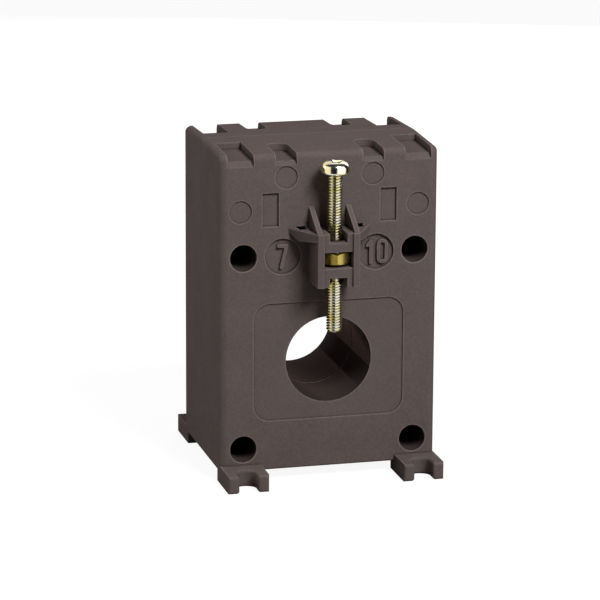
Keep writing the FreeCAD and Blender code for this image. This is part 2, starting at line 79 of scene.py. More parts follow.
THREAD_RADIUS = 2 * MM                   # over the crests of an M4 thread
THREAD_HALF_ANGLE = math.radians(30)
THREAD_STEPS = 40                        # straight steps in one turn of the thread
TERMINAL_TURNS = {1: 0.35, 2: 1.1}       # radians, where each terminal screw's cross points

# Lines where the halves meet in the bore, counted towards the front from the seam:
# start and end in seam widths, and tone beside that of the wall
# the dark line is the joint, deepened with painted shade; the pale one is a painted highlight
SEAM_LINES = ((0, 1, 0.05), (1, 1.9, 6.0))
# painted highlight on the ring round each corner hole
HOLE_HIGHLIGHT_TONE = 1.2                     # the ring round a corner hole beside its face


def linear(hex_colour):
    """An sRGB hex colour as the linear RGBA that a shader takes."""
    parts = [int(hex_colour[i:i + 2], 16) / 255 for i in (1, 3, 5)]
    return [c / 12.92 if c <= 0.04045 else ((c + 0.055) / 1.055) ** 2.4 for c in parts] + [1.0]


def length(label, about, metres):
    return FloatProperty(name=label, description=about, default=metres, unit="LENGTH",
                         precision=6)


def share(label, about, value):
    return FloatProperty(name=label, description=about, default=value, min=0, max=1,
                         subtype="FACTOR")


def angle(label, about, degrees):
    return FloatProperty(name=label, description=about, default=math.radians(degrees),
                         subtype="ANGLE")


def power(label, about, watts):
    return FloatProperty(name=label, description=about, default=watts, unit="POWER")


def colour(label, about, hex_colour):
    return FloatVectorProperty(name=label, description=about, default=linear(hex_colour),
                               size=4, min=0, max=1, subtype="COLOR")


class CaseLook(bpy.types.PropertyGroup):
    """The moulded plastic of the two case halves and the clamp holder"""
    plastic: colour("Plastic", "Body colour of the moulded plastic", "#5A504E")
    grain: length("Grain", "Size of the surface's grain", 0.45 * MM)
    grain_height: length("Grain height", "How far the grain stands out", 0.012 * MM)
    cloud: length("Clouds", "Size of the faint clouds in the surface", 9 * MM)
    edge: length("Edge", "Rounding that catches the light along sharp edges", 0.28 * MM)
    # widths of the painted highlight along outer edges and of the painted shade in inner
    # corners
    band: length("Edge band", "Width of the paler band along outer edges", 0.4 * MM)
    corner: length("Corner band", "Width of the darker band along inner corners", 0.6 * MM)
    roughness: share("Roughness", "Roughness of the grained faces", 0.7)
    pin_roughness: share("Bore roughness", "Roughness inside the polished bore", 0.18)
    # painted shade: how far the bore's wall is darkened
    painted_bore_shade: share("Bore tone", "How pale the bore's wall is beside the faces", 0.35)
    bore_gloss: share("Bore gloss", "How much the polished bore reflects", 0.5)
    # the matt stripe stands in for a dark reflection along the bore: a painted reflection
    matt_gloss: share("Stripe gloss", "How much its matt stripe and seam reflect", 0.02)
    stripe_start: angle("Stripe start", "Lower edge of the stripe, from level right", -44)
    stripe_end: angle("Stripe end", "Upper edge of the stripe, from level right", -14)
    seam: length("Seam", "Where the halves meet in the bore, from the outer split", 1.9 * MM)
    seam_width: length("Seam width", "Width of the dark line there", 0.34 * MM)
    seam_depth: length("Seam depth", "How deep the seam's lines reach", 0.6 * MM)
    # painted shade inside the corner holes, and the width of the painted highlight round them
    painted_hole_shade: share("Hole tone", "How pale the corner holes are beside the faces", 0.45)
    hole_highlight_ring: length("Hole ring", "Width of the pale ring round each hole", 0.4 * MM)


class ScrewLook(bpy.types.PropertyGroup):
    """Thread, recess and plating of the machine screws"""
    pitch: length("Pitch", "Distance from one thread to the next", 0.7 * MM)
    thread_depth: length("Thread depth", "Crest to root", 0.43 * MM)
    clamp_head: length("Clamp head height", "Height of the clamp screw's head", 3.05 * MM)
    clamp_crown: length("Clamp head crown", "Rounding on top of its head", 1.6 * MM)
    clamp_seat: length("Clamp head seat", "Rounding under its head", 0.8 * MM)
    pan_head: length("Pan head height", "Height of a terminal screw's head", 3.1 * MM)
    pan_crown: length("Pan head crown", "Rounding on top of a terminal screw's head", 1.4 * MM)
    pan_seat: length("Pan head seat", "Rounding under a terminal screw's head", 0.3 * MM)
    cross_width: length("Cross width", "Width of the cross's arms", 1.1 * MM)
    cross_depth: length("Cross depth", "Depth of the cross in the middle", 1.9 * MM)
    cross_margin: length("Cross margin", "From the cross to the rim", 1.3 * MM)
    point: length("Point", "Chamfer at the screw's end", 0.5 * MM)
    turn: angle("Turn", "Where the clamp screw's cross points", 19)
    zinc: colour("Zinc", "Bright zinc plate", "#DEDCD2")
    tint: colour("Tint", "Yellow tint in the plating", "#D6CD9C")


class NutLook(bpy.types.PropertyGroup):
    """The yellow nut in the clamp holder's window"""
    flats: length("Across flats", "Width across the nut's flats", 7.0 * MM)
    bore: length("Bore", "Radius of the nut's hole", 2.05 * MM)
    edge: length("Edge", "Rounding of the nut's edges", 0.08 * MM)
    turn: angle("Turn", "How far the nut has turned in its play", -4.3)
    yellow: colour("Yellow", "Yellow passivated plate", "#B09D54")


class InsideLook(bpy.types.PropertyGroup):
    """Terminals, core, winding and leads"""
    brass: colour("Brass", "Terminal plates", "#D9BC78")
    steel: colour("Core steel", "Wound strip of the core", "#8E9297")
    copper: colour("Wire", "Enamelled copper wire", "#B5623A")
    tape: colour("Tape", "Polyester tape round the winding", "#C9A63C")
    cup: colour("Cup", "Moulded cups round the core", "#DCD8CC")
    rubber: colour("Pad", "Foam rubber pads", "#232323")
    lead: colour("Lead", "Insulation of the two leads", "#A83228")
    turns: IntProperty(name="Turns", description="Turns of wire side by side round the ring",
                       default=150, min=20)
    laps: IntProperty(name="Laps", description="Laps of tape round the ring", default=24,
                      min=4)
    strip: length("Strip", "Thickness of the core's steel strip", 0.3 * MM)


class StudioLook(bpy.types.PropertyGroup):
    """Floor, lamps and the cards that bright surfaces mirror"""
    floor_radius: length("Floor", "Radius of the floor", 2.5)
    key: power("Key", "Power of the main lamp", 4.9)
    side: power("Side", "Power of the lamp on the left", 0.7)
    rear: power("Rear", "Power of the low lamp behind", 2.4)
    ambient: share("Ambient", "Light from all round", 0.155)
    backdrop: colour("Backdrop", "Floor and backdrop", "#FFFFFF")
    white: colour("White cards", "Glow of the plain cards", "#FFFFFF")
    cream: colour("Cream cards", "Glow of the cards on the left", "#FFF2C4")
    dim: colour("Dim cards", "Glow of the two cards that the bore mirrors", "#FFCEC6")


# Materials


def add_node(tree, kind, inputs=None, **settings):
    """One node with its settings, and its sockets set or linked."""
    node = tree.nodes.new(kind)
    for name, value in settings.items():
        setattr(node, name, value)
    for socket, value in (inputs or {}).items():
        if isinstance(value, bpy.types.NodeSocket):
            tree.links.new(value, node.inputs[socket])
        else:
            node.inputs[socket].default_value = value
    return node


def start_material(name, finish):
    """A material with its constant finish set; also its tree, shader and object place."""
    material = bpy.data.materials.new(name)
    material.use_nodes = True
    tree = material.node_tree
    shader = tree.nodes["Principled BSDF"]
    for socket, value in finish.items():
        shader.inputs[socket].default_value = value
    place = add_node(tree, "ShaderNodeTexCoord").outputs["Object"]
    return material, tree, shader, place


def shade(colour_value, factor):
    """A colour made darker, or paler by a factor over 1."""
    return [c * factor for c in colour_value[:3]] + [1.0]


def masked(tree, value, low, high):
    """1 where a value lies between two limits, and 0 elsewhere."""
    above = add_node(tree, "ShaderNodeMath", {0: value, 1: low}, operation="GREATER_THAN")
    below = add_node(tree, "ShaderNodeMath", {0: value, 1: high}, operation="LESS_THAN")
    return add_node(tree, "ShaderNodeMath", {0: above.outputs[0], 1: below.outputs[0]},
                    operation="MULTIPLY").outputs[0]


def reach_across(tree, place):
    """Distance from the Y axis of a place."""
    across = add_node(tree, "ShaderNodeVectorMath", {0: place, 1: (1, 0, 1)},
                      operation="MULTIPLY")
    return add_node(tree, "ShaderNodeVectorMath", {0: across.outputs[0]},
                    operation="LENGTH").outputs["Value"]


def dimmed(tree, tone, mask, factor):
    """The tone, scaled by a factor where the mask is 1."""
    amount = add_node(tree, "ShaderNodeMapRange", {
        "Value": mask, "To Min": 1.0, "To Max": factor})
    return add_node(tree, "ShaderNodeVectorMath", {
        0: tone, "Scale": amount.outputs[0]}, operation="SCALE").outputs[0]


def painted_edge_light(tree, look):
    """Painted light along edges: a painted highlight on outer ones, painted shade in inner
    corners.
    """
    palest, darkest = 1.7, 0.5
    inside = add_node(tree, "ShaderNodeAmbientOcclusion", {"Distance": look.band},
                      samples=EDGE_SAMPLES, inside=True, only_local=True)
    outer = add_node(tree, "ShaderNodeMapRange", {
        "Value": inside.outputs["AO"], "From Min": 0.5, "From Max": 1.0,
        "To Min": palest, "To Max": 1.0})
    outside = add_node(tree, "ShaderNodeAmbientOcclusion", {"Distance": look.corner},
                       samples=EDGE_SAMPLES, only_local=True)
    inner = add_node(tree, "ShaderNodeMapRange", {
        "Value": outside.outputs["AO"], "From Min": 0.4, "From Max": 1.0,
        "To Min": darkest, "To Max": 1.0})
    return add_node(tree, "ShaderNodeMath", {0: outer.outputs[0], 1: inner.outputs[0]},
                    operation="MULTIPLY").outputs[0]


def grained(tree, place, look, body_colour):
    """The plastic's tone, with its grain, faint clouds and painted edge light and shade, and
    the grain's height.
    """
    dark, pale = 0.86, 1.14
    cloudiness = 0.35
    grain = add_node(tree, "ShaderNodeTexNoise", {
        "Vector": place, "Scale": 1 / look.grain, "Detail": 3, "Roughness": 0.62})
    cloud = add_node(tree, "ShaderNodeTexNoise", {
        "Vector": place, "Scale": 1 / look.cloud, "Detail": 2, "Roughness": 0.5})
    both = add_node(tree, "ShaderNodeMath", {
        0: cloud.outputs[0], 1: cloudiness, 2: grain.outputs[0]}, operation="MULTIPLY_ADD")
    amount = add_node(tree, "ShaderNodeMapRange", {
        "Value": both.outputs[0], "From Min": 0.45, "From Max": 0.9})
    tone = add_node(tree, "ShaderNodeMix", {
        "Factor": amount.outputs[0], "A": shade(body_colour, dark),
        "B": shade(body_colour, pale)}, data_type="RGBA").outputs["Result"]
    # painted highlights along outer edges and painted shade in inner corners
    tone = add_node(tree, "ShaderNodeVectorMath", {
        0: tone, "Scale": painted_edge_light(tree, look)}, operation="SCALE").outputs[0]
    return tone, grain.outputs[0]


def polish_bore(tree, shader, place, look, bore_radius, tone, grain):
    """Makes the bore's wall smooth, with a matt stripe along it below on the right.

    It was shaped by a polished core pin, so it reflects and has no grain. Its tone is
    darkened with painted shade, and the matt stripe stands in for a dark reflection.
    The halves meet in it with a fine dark line, deepened with painted shade, and a
    pale one on the front side of that, a painted highlight.
    """
    apart = add_node(tree, "ShaderNodeSeparateXYZ", {0: place})
    reach = reach_across(tree, place)
    wall = masked(tree, reach, 0, bore_radius + PAST_WALL)
    rough = add_node(tree, "ShaderNodeMapRange", {
        "Value": wall, "To Min": look.roughness, "To Max": look.pin_roughness})
    tree.links.new(rough.outputs[0], shader.inputs["Roughness"])
    # painted reflection: a matt stripe below on the right that shows dark like a reflection of
    # something dark
    around = add_node(tree, "ShaderNodeMath", {
        0: apart.outputs["Z"], 1: apart.outputs["X"]}, operation="ARCTAN2")
    stripe = masked(tree, around.outputs[0], look.stripe_start, look.stripe_end)
    lines = [masked(tree, apart.outputs["Y"], -look.seam - end * look.seam_width,
                    -look.seam - start * look.seam_width)
             for start, end, _ in SEAM_LINES]
    matt = add_node(tree, "ShaderNodeMath", {0: stripe, 1: lines[0]}, operation="MAXIMUM")
    level = add_node(tree, "ShaderNodeMapRange", {
        "Value": matt.outputs[0], "To Min": look.bore_gloss, "To Max": look.matt_gloss})
    gloss = add_node(tree, "ShaderNodeMath", {0: wall, 1: level.outputs[0]},
                     operation="MULTIPLY")
    tree.links.new(gloss.outputs[0], shader.inputs["Specular IOR Level"])
    height = add_node(tree, "ShaderNodeMapRange", {
        "Value": wall, "To Min": grain, "To Max": 0.0}).outputs[0]
    # painted shade over the whole wall of the bore
    tone = dimmed(tree, tone, wall, look.painted_bore_shade)
    near_wall = masked(tree, reach, 0, bore_radius + look.seam_depth)
    # the dark joint line, deepened with painted shade, and beside it a pale painted highlight
    for line, (_, _, factor) in zip(lines, SEAM_LINES):
        seam = add_node(tree, "ShaderNodeMath", {0: near_wall, 1: line},
                        operation="MULTIPLY").outputs[0]
        tone = dimmed(tree, tone, seam, factor)
    return tone, height


def paint_corner_hole_shade(tree, place, look, holes, tone):
    """Painted shade in the deep corner holes, and a painted highlight as a fine pale ring
    round each on the faces.
    """
    # the four lie mirrored about their middle, so that one distance does for all
    from_middle = add_node(tree, "ShaderNodeVectorMath", {0: place, 1: holes["middle"]},
                           operation="SUBTRACT")
    folded = add_node(tree, "ShaderNodeVectorMath", {0: from_middle.outputs[0]},
                      operation="ABSOLUTE")
    from_axis = add_node(tree, "ShaderNodeVectorMath", {
        0: folded.outputs[0], 1: holes["half_spacing"]}, operation="SUBTRACT")
    reach = reach_across(tree, from_axis.outputs[0])
    rim = holes["radius"] + PAST_WALL
    inside = masked(tree, reach, 0, rim)
    ring = masked(tree, reach, rim, holes["radius"] + look.hole_highlight_ring)
    # painted shade inside the holes, and a painted highlight on the ring
    tone = dimmed(tree, tone, inside, look.painted_hole_shade)
    return dimmed(tree, tone, ring, HOLE_HIGHLIGHT_TONE)


def moulded_plastic(name, look, body_colour, bore_radius=None, corner_holes=None):
    """Glass-filled polyamide from a spark-eroded mould: dull, with a fine even grain.

    The grain scatters so much light that next to no reflection is left.
    It is drawn coarser than the real 0.1 mm, so that it shows at this distance.
    """
    material, tree, shader, place = start_material(name, {
        "IOR": 1.53, "Specular IOR Level": 0.0, "Roughness": look.roughness})
    tone, height = grained(tree, place, look, body_colour)
    if bore_radius:
        tone, height = polish_bore(tree, shader, place, look, bore_radius, tone, height)
    if corner_holes:
        tone = paint_corner_hole_shade(tree, place, look, corner_holes, tone)
    tree.links.new(tone, shader.inputs["Base Color"])
    edge = add_node(tree, "ShaderNodeBevel", {"Radius": look.edge}, samples=EDGE_SAMPLES)
    bump = add_node(tree, "ShaderNodeBump", {
        "Height": height, "Distance": look.grain_height, "Normal": edge.outputs[0]})
    tree.links.new(bump.outputs[0], shader.inputs["Normal"])
    return material


def bright_metal(name, plain, tint, roughness, patch, unevenness=0.6):
    """Plated steel or brass: bright, tinted in patches by passivation or by tarnish.

    Thread roots and recesses are darkened with painted shade.
    """
    shade_reach = 0.5 * MM
    mottle = 0.35 * MM
    ripple = 0.004 * MM
    material, tree, shader, place = start_material(name, {"Metallic": 1.0})
    patches = add_node(tree, "ShaderNodeTexNoise", {
        "Vector": place, "Scale": 1 / patch, "Detail": 2, "Roughness": 0.55})
    amount = add_node(tree, "ShaderNodeMapRange", {
        "Value": patches.outputs[0], "From Min": 0.4, "From Max": 0.62})
    tone = add_node(tree, "ShaderNodeMix", {
        "Factor": amount.outputs[0], "A": plain[:], "B": tint[:]}, data_type="RGBA")
    # painted shade in thread roots and recesses, where the surface is closed in
    painted_shade_probe = add_node(tree, "ShaderNodeAmbientOcclusion", {"Distance": shade_reach},
                        samples=EDGE_SAMPLES, only_local=True)
    depth = add_node(tree, "ShaderNodeMapRange", {
        "Value": painted_shade_probe.outputs["AO"], "From Min": 0.25, "From Max": 0.65,
        "To Min": 0.4, "To Max": 1.0})
    tone = add_node(tree, "ShaderNodeVectorMath", {
        0: tone.outputs["Result"], "Scale": depth.outputs[0]}, operation="SCALE")
    tree.links.new(tone.outputs[0], shader.inputs["Base Color"])
    fine = add_node(tree, "ShaderNodeTexNoise", {
        "Vector": place, "Scale": 1 / mottle, "Detail": 3})
    rough = add_node(tree, "ShaderNodeMapRange", {
        "Value": fine.outputs[0], "From Min": 0.3, "From Max": 0.7,
        "To Min": roughness * 0.75, "To Max": roughness * 1.3})
    tree.links.new(rough.outputs[0], shader.inputs["Roughness"])
    bump = add_node(tree, "ShaderNodeBump", {
        "Height": fine.outputs[0], "Distance": ripple, "Strength": unevenness})
    tree.links.new(bump.outputs[0], shader.inputs["Normal"])
    return material


def grainy(name, tone_colour, finish, size, height):
    """A plain solid colour with a fine uneven surface, for moulded and rubber pieces."""
    dark, pale = 0.85, 1.1
    material, tree, shader, place = start_material(name, finish)
    noise = add_node(tree, "ShaderNodeTexNoise", {
        "Vector": place, "Scale": 1 / size, "Detail": 4, "Roughness": 0.6})
    tone = add_node(tree, "ShaderNodeMix", {
        "Factor": noise.outputs[0], "A": shade(tone_colour, dark),
        "B": shade(tone_colour, pale)}, data_type="RGBA")
    tree.links.new(tone.outputs["Result"], shader.inputs["Base Color"])
    bump = add_node(tree, "ShaderNodeBump", {"Height": noise.outputs[0], "Distance": height})
    tree.links.new(bump.outputs[0], shader.inputs["Normal"])
    return material


def ringed(name, tone_colour, finish, height, turns=None, strip=None):
    """A surface of turns laid round the bore's axis, or of strip wound up round it.

    It is darker in the gaps between the turns, or between the strip's edges: the joints,
    deepened with painted shade.
    """
    gap_shade = 0.35
    material, tree, shader, place = start_material(name, finish)
    if turns:
        apart = add_node(tree, "ShaderNodeSeparateXYZ", {0: place})
        around = add_node(tree, "ShaderNodeMath", {
            0: apart.outputs["X"], 1: apart.outputs["Z"]}, operation="ARCTAN2")
        phase = add_node(tree, "ShaderNodeMath", {0: around.outputs[0], 1: turns},
                         operation="MULTIPLY")
    else:
        phase = add_node(tree, "ShaderNodeMath", {
            0: reach_across(tree, place), 1: math.tau / strip}, operation="MULTIPLY")
    wave = add_node(tree, "ShaderNodeMath", {0: phase.outputs[0]}, operation="SINE")
    ridge = add_node(tree, "ShaderNodeMapRange", {
        "Value": wave.outputs[0], "From Min": -1, "From Max": 1})
    # the joints between turns, deepened with painted shade
    tone = add_node(tree, "ShaderNodeMix", {
        "Factor": ridge.outputs[0], "A": shade(tone_colour, gap_shade), "B": tone_colour[:]},
        data_type="RGBA")
    tree.links.new(tone.outputs["Result"], shader.inputs["Base Color"])
    bump = add_node(tree, "ShaderNodeBump", {"Height": ridge.outputs[0], "Distance": height})
    tree.links.new(bump.outputs[0], shader.inputs["Normal"])
    return material


def dress(material, *nodes):
    """Gives CAD nodes a material, in place of the plain one they came with."""
    for name in nodes:
        mesh = frame["nodes"][name].data
        mesh.materials.clear()
        mesh.materials.append(material)


# Modelling


def deselect():
    bpy.ops.object.select_all(action="DESELECT")


def select_edges(piece, chosen):
    """In edit mode, selects the edges that have both ends chosen."""
    bpy.ops.mesh.select_mode(type="EDGE")
    bpy.ops.mesh.select_all(action="DESELECT")
    mesh = bmesh.from_edit_mesh(piece.data)
    for edge in mesh.edges:
        if all(chosen(vert.co) for vert in edge.verts):
            edge.select_set(True)
    bmesh.update_edit_mesh(piece.data)


def apply_modifier(piece, kind, **settings):
    """Adds a modifier with its settings, and applies it at once."""
    modifier = piece.modifiers.new(kind.title(), kind)
    for name, value in settings.items():
        setattr(modifier, name, value)
    bpy.context.view_layer.objects.active = piece
    bpy.ops.object.modifier_apply(modifier=modifier.name)


def combine(piece, tool, operation):
    """Cuts, joins or intersects the piece with a tool, which is then gone."""
    apply_modifier(piece, "BOOLEAN", operation=operation, solver="EXACT", object=tool)
    bpy.data.objects.remove(tool)


def cylinder(radius, low, high, sides=72):
    """An upright cylinder on the Z axis, between two heights."""
    deselect()
    bpy.ops.mesh.primitive_cylinder_add(vertices=sides, radius=radius, depth=high - low,
                                        location=(0, 0, (low + high) / 2))
    bpy.ops.object.transform_apply(location=True)
    return bpy.context.object


def bevel_rim(piece, z, width, segments):
    """Rounds or chamfers the cylinder's rim at one height."""
    bpy.ops.object.mode_set(mode="EDIT")
    select_edges(piece, lambda co: abs(co.z - z) < SAME_PLACE)
    bpy.ops.mesh.bevel(offset=width, segments=segments, profile=0.5)
    bpy.ops.object.mode_set(mode="OBJECT")


def thread_coil(shank_length, look):
    """The thread's own section wound into a coil, longer than the shank at both ends."""
    flank = look.thread_depth * math.tan(THREAD_HALF_ANGLE)
    crest = look.pitch / 8
    root = look.pitch - crest - 2 * flank
    # crests stand a little proud, because the blank trims them later
    proud = 0.03 * MM
    outwards = look.thread_depth + proud
    # and the coil has spare turns past both ends, for the same reason
    turns_below, turns_above = 2, 1
    deselect()
    bpy.ops.mesh.primitive_plane_add(size=look.pitch)
    coil = bpy.context.object
    bpy.ops.object.mode_set(mode="EDIT")
    bpy.ops.mesh.merge(type="CENTER")
    bpy.ops.transform.translate(value=(THREAD_RADIUS - look.thread_depth, 0,
                                       -shank_length - turns_below * look.pitch))
    for across, up in ((0, root), (outwards, flank), (0, crest), (-outwards, flank)):
        bpy.ops.mesh.extrude_vertices_move(
            TRANSFORM_OT_translate={"value": (across, 0, up)})
    bpy.ops.object.mode_set(mode="OBJECT")
    turns = math.ceil(shank_length / look.pitch) + turns_below + turns_above
    apply_modifier(coil, "SCREW", axis="Z", angle=math.tau, screw_offset=look.pitch,
                   iterations=turns, steps=THREAD_STEPS, render_steps=THREAD_STEPS,
                   use_merge_vertices=False)
    return coil


def threaded_shank(shank_length, look):
    """A right-hand thread down from the origin, with a chamfered point."""
    spare = 0.4 * MM
    into_head = 0.25 * MM
    thread = thread_coil(shank_length, look)
    bpy.ops.object.mode_set(mode="EDIT")
    bpy.ops.mesh.select_all(action="SELECT")
    bpy.ops.mesh.remove_doubles(threshold=1e-7)
    for z, outward in ((-shank_length - spare, -1), (spare, 1)):
        bpy.ops.mesh.select_all(action="SELECT")
        bpy.ops.mesh.bisect(plane_co=(0, 0, z), plane_no=(0, 0, outward), use_fill=True,
                            clear_outer=True)
    bpy.ops.mesh.select_all(action="SELECT")
    bpy.ops.mesh.normals_make_consistent(inside=False)
    bpy.ops.object.mode_set(mode="OBJECT")
    blank = cylinder(THREAD_RADIUS, -shank_length, into_head, sides=2 * THREAD_STEPS)
    bevel_rim(blank, -shank_length, look.point, segments=1)
    combine(thread, blank, "INTERSECT")
    return thread


def tapered_bar(half_x, half_y, low, high, narrowing):
    """A cutter bar whose bottom is narrower than its top."""
    deselect()
    bpy.ops.mesh.primitive_cube_add(size=1, location=(0, 0, (low + high) / 2),
                                    scale=(2 * half_x, 2 * half_y, high - low))
    bpy.ops.object.transform_apply()
    bar = bpy.context.object
    bpy.ops.object.mode_set(mode="EDIT")
    select_edges(bar, lambda co: co.z < low + SAME_PLACE)
    bpy.ops.transform.resize(value=(narrowing[0], narrowing[1], 1))
    bpy.ops.object.mode_set(mode="OBJECT")
    return bar


def screw_head(diameter, height, crown, seat, look):
    """A rounded head standing on the origin, with a cross recess."""
    radius = diameter / 2
    head = cylinder(radius, 0, height)
    bevel_rim(head, height, crown, segments=8)
    bevel_rim(head, 0, seat, segments=6)
    half = look.cross_width / 2
    reach = radius - look.cross_margin
    bottom = height - look.cross_depth
    top = height + 0.02 * MM
    # each arm of the cross narrows towards its bottom, most of all along its length
    lengthways, sideways = 0.3, 0.7
    broken_edge = 0.06 * MM
    for half_x, half_y, narrowing in ((reach, half, (lengthways, sideways)),
                                      (half, reach, (sideways, lengthways))):
        wing = tapered_bar(half_x, half_y, bottom, top, narrowing)
        combine(head, wing, "DIFFERENCE")
    apply_modifier(head, "BEVEL", width=broken_edge, segments=2, limit_method="ANGLE",
                   angle_limit=math.radians(35))
    return head


def machine_screw(node, axis, height, crown, seat, turn, look):
    """A threaded screw in place of a CAD node, its head at the +axis end of its box."""
    low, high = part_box(node)
    along = "XYZ".index(axis)
    shank = threaded_shank(high[along] - low[along] - height, look)
    head = screw_head(high.x - low.x, height, crown, seat, look)
    deselect()
    shank.select_set(True)
    head.select_set(True)
    bpy.context.view_layer.objects.active = shank
    bpy.ops.object.join()
    bpy.ops.object.shade_smooth_by_angle(angle=math.radians(32))
    shank.name = f"{node}_threaded"
    under_head = (low + high) / 2
    under_head[along] = high[along] - height
    place = Matrix.Translation(under_head)
    if axis == "Y":
        place @= Matrix.Rotation(math.radians(-90), 4, "X")
    shank.matrix_world = place @ Matrix.Rotation(turn, 4, "Z")
    bpy.ops.object.transform_apply(location=True, rotation=True, scale=True)
    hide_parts(node)
    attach(shank, node)
    return shank


def hexagon_nut(height, look):
    """A nut standing on the origin, its corners cut back by a cone at both faces."""
    half = look.flats / 2
    nut = cylinder(look.flats / math.sqrt(3), 0, height, sides=6)
    # each cone leans 30 degrees from the face that it cuts
    widest = half + height * math.sqrt(3)
    for lower, upper in ((widest, half), (half, widest)):
        deselect()
        bpy.ops.mesh.primitive_cone_add(vertices=96, radius1=lower, radius2=upper,
                                        depth=height, location=(0, 0, height / 2))
        combine(nut, bpy.context.object, "INTERSECT")
    combine(nut, cylinder(look.bore, -BEYOND, height + BEYOND, sides=48), "DIFFERENCE")
    apply_modifier(nut, "BEVEL", width=look.edge, segments=2, limit_method="ANGLE",
                   angle_limit=math.radians(25))
    return nut


# Operators, one for each piece or group


class DressCase(bpy.types.Operator):
    """Give the two case halves their moulded finish"""
    bl_idname = "transformer.dress_case"
    bl_label = "Case halves"

    def execute(self, context):
        look = context.scene.transformer_case
        mounts = {mount["name"]: mount for mount in frame["record"]["mounts"]}
        pattern = mounts["corner_holes"]["dims"]
        holes = {"middle": mounts["corner_holes"]["pos_m"],
                 "half_spacing": (pattern["spacing_x_mm"] / 2 * MM, 0,
                                  pattern["spacing_y_mm"] / 2 * MM),
                 "radius": pattern["hole_r_mm"] * MM}
        bore_radius = mounts["bore"]["dims"]["r_mm"] * MM
        dress(moulded_plastic("polyamide_case", look, look.plastic, bore_radius, holes),
              "front_shell", "rear_shell")
        return {"FINISHED"}


class DressHolder(bpy.types.Operator):
    """Give the clamp holder its moulded finish"""
    bl_idname = "transformer.dress_holder"
    bl_label = "Clamp holder"

    def execute(self, context):
        look = context.scene.transformer_case
        # a moulding of its own from the same plastic, a trace darker
        dress(moulded_plastic("polyamide_holder", look, shade(look.plastic, 0.97)),
              "clamp_holder")
        return {"FINISHED"}


class MakeClampScrew(bpy.types.Operator):
    """Cut the thread and the recess of the clamp screw"""
    bl_idname = "transformer.make_clamp_screw"
    bl_label = "Clamp screw"

    def execute(self, context):
        look = context.scene.transformer_screws
        screw = machine_screw("clamp_screw", "Z", look.clamp_head, look.clamp_crown,
                              look.clamp_seat, look.turn, look)
        # zinc over drawn steel: a mirror with small pale yellow patches
        screw.data.materials.append(
            bright_metal("zinc_plate_clamp", look.zinc, look.tint, roughness=0.16,
                         patch=2.6 * MM))
        return {"FINISHED"}


class MakeClampNut(bpy.types.Operator):
    """Shape the yellow nut in the clamp holder's window"""
    bl_idname = "transformer.make_clamp_nut"
    bl_label = "Clamp nut"

    def execute(self, context):
        look = context.scene.transformer_nut
        low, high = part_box("clamp_nut")
        nut = hexagon_nut(high.z - low.z, look)
        deselect()
        nut.select_set(True)
        nut.name = "clamp_nut_hexagon"
        nut.matrix_world = (
            Matrix.Translation(((low.x + high.x) / 2, (low.y + high.y) / 2, low.z))
            @ Matrix.Rotation(look.turn, 4, "Z"))
        bpy.ops.object.transform_apply(location=True, rotation=True)
        bpy.ops.object.shade_smooth_by_angle(angle=math.radians(20))
        # yellow passivated zinc: an even brownish yellow with a soft shine
        nut.data.materials.append(
            bright_metal("yellow_zinc_nut", look.yellow, shade(look.yellow, 0.9),
                         roughness=0.3, patch=3 * MM, unevenness=0.1))
        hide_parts("clamp_nut")
        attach(nut, "case")
        return {"FINISHED"}


class MakeTerminals(bpy.types.Operator):
    """Make the terminal screws, and dress their plates, nuts and washers"""
    bl_idname = "transformer.make_terminals"
    bl_label = "Terminals"

    def execute(self, context):
        look = context.scene.transformer_screws
        # barrel-plated zinc: like the clamp screw's, but duller and in wider patches
        zinc = bright_metal("zinc_plate_terminals", look.zinc, look.tint, roughness=0.24,
                            patch=4 * MM)
        for number, turn in TERMINAL_TURNS.items():
            screw = machine_screw(f"terminal_screw_{number}", "Y", look.pan_head,
                                  look.pan_crown, look.pan_seat, turn, look)
            screw.data.materials.append(zinc)
            dress(zinc, f"terminal_nut_{number}", f"terminal_washer_{number}")
        inside = context.scene.transformer_inside
        # stamped brass sheet: warm, half dull, a little darker where it tarnishes
        dress(bright_metal("brass_plate", inside.brass, shade(inside.brass, 0.85),
                           roughness=0.3, patch=3 * MM),
              "terminal_plate_1", "terminal_plate_2")
        return {"FINISHED"}


class DressInside(bpy.types.Operator):
    """Dress the core, its cups, the winding, the tape, the pads and the leads"""
    bl_idname = "transformer.dress_inside"
    bl_label = "Core and winding"

    def execute(self, context):
        look = context.scene.transformer_inside
        # grain-oriented silicon steel: dull grey metal, strip edges show as fine rings
        dress(ringed("silicon_steel_core", look.steel, {"Metallic": 1.0, "Roughness": 0.42},
                     height=0.03 * MM, strip=look.strip), "core")
        # enamelled copper wire: clear varnish over copper, one round ridge for each turn
        dress(ringed("enamelled_copper_wire", look.copper,
                     {"Metallic": 1.0, "Roughness": 0.3, "Coat Weight": 0.6},
                     height=0.2 * MM, turns=look.turns), "secondary_winding")
        # polyester tape: glossy film with the edge of each lap showing
        dress(ringed("polyester_tape", look.tape, {"Roughness": 0.25, "IOR": 1.6},
                     height=0.05 * MM, turns=look.laps), "winding_tape")
        # injection-moulded polyester: off-white with a half matt, nearly even face
        dress(grainy("polyester_cup", look.cup, {"Roughness": 0.45, "IOR": 1.55},
                     size=0.5 * MM, height=0.01 * MM), "core_cup_front", "core_cup_rear")
        # foam rubber: black and dull, with its open pores showing
        dress(grainy("foam_rubber", look.rubber, {"Roughness": 0.9, "IOR": 1.5},
                     size=0.6 * MM, height=0.15 * MM), "front_pad", "rear_pad")
        # extruded silicone: red with a soft shine, nearly smooth
        dress(grainy("silicone_lead", look.lead, {"Roughness": 0.5, "IOR": 1.42},
                     size=0.8 * MM, height=0.01 * MM), "lead_1", "lead_2")
        return {"FINISHED"}


# Studio


